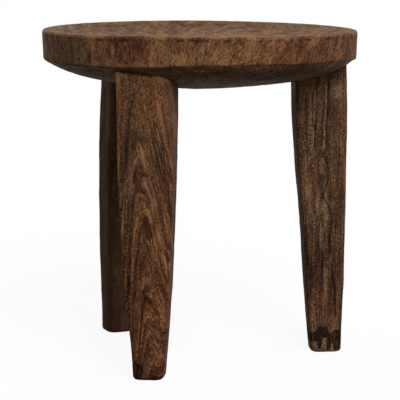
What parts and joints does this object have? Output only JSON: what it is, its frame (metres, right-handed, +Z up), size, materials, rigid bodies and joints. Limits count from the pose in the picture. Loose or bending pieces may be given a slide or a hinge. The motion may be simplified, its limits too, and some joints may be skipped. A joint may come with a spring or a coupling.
{
  "type": "stool",
  "caption": "Round dark wooden stool with a shallow dished seat, a domed underside and tapered rounded-square legs, for sitting or as a low side table.",
  "frame": {"origin": "on the floor, under the centre of the round seat", "axes": "+Z up; +Y away from the side seen from the front; +X to the right, towards the leg called leg_right"},
  "size_m": [0.3998, 0.3998, 0.417],
  "materials": {
    "seat_wood": "matte",
    "leg_wood": "matte"
  },
  "bodies": {
    "root": {"seat": "seat_wood", "leg_front_left": "leg_wood", "leg_right": "leg_wood", "leg_rear_left": "leg_wood"}
  },
  "joints": []
}
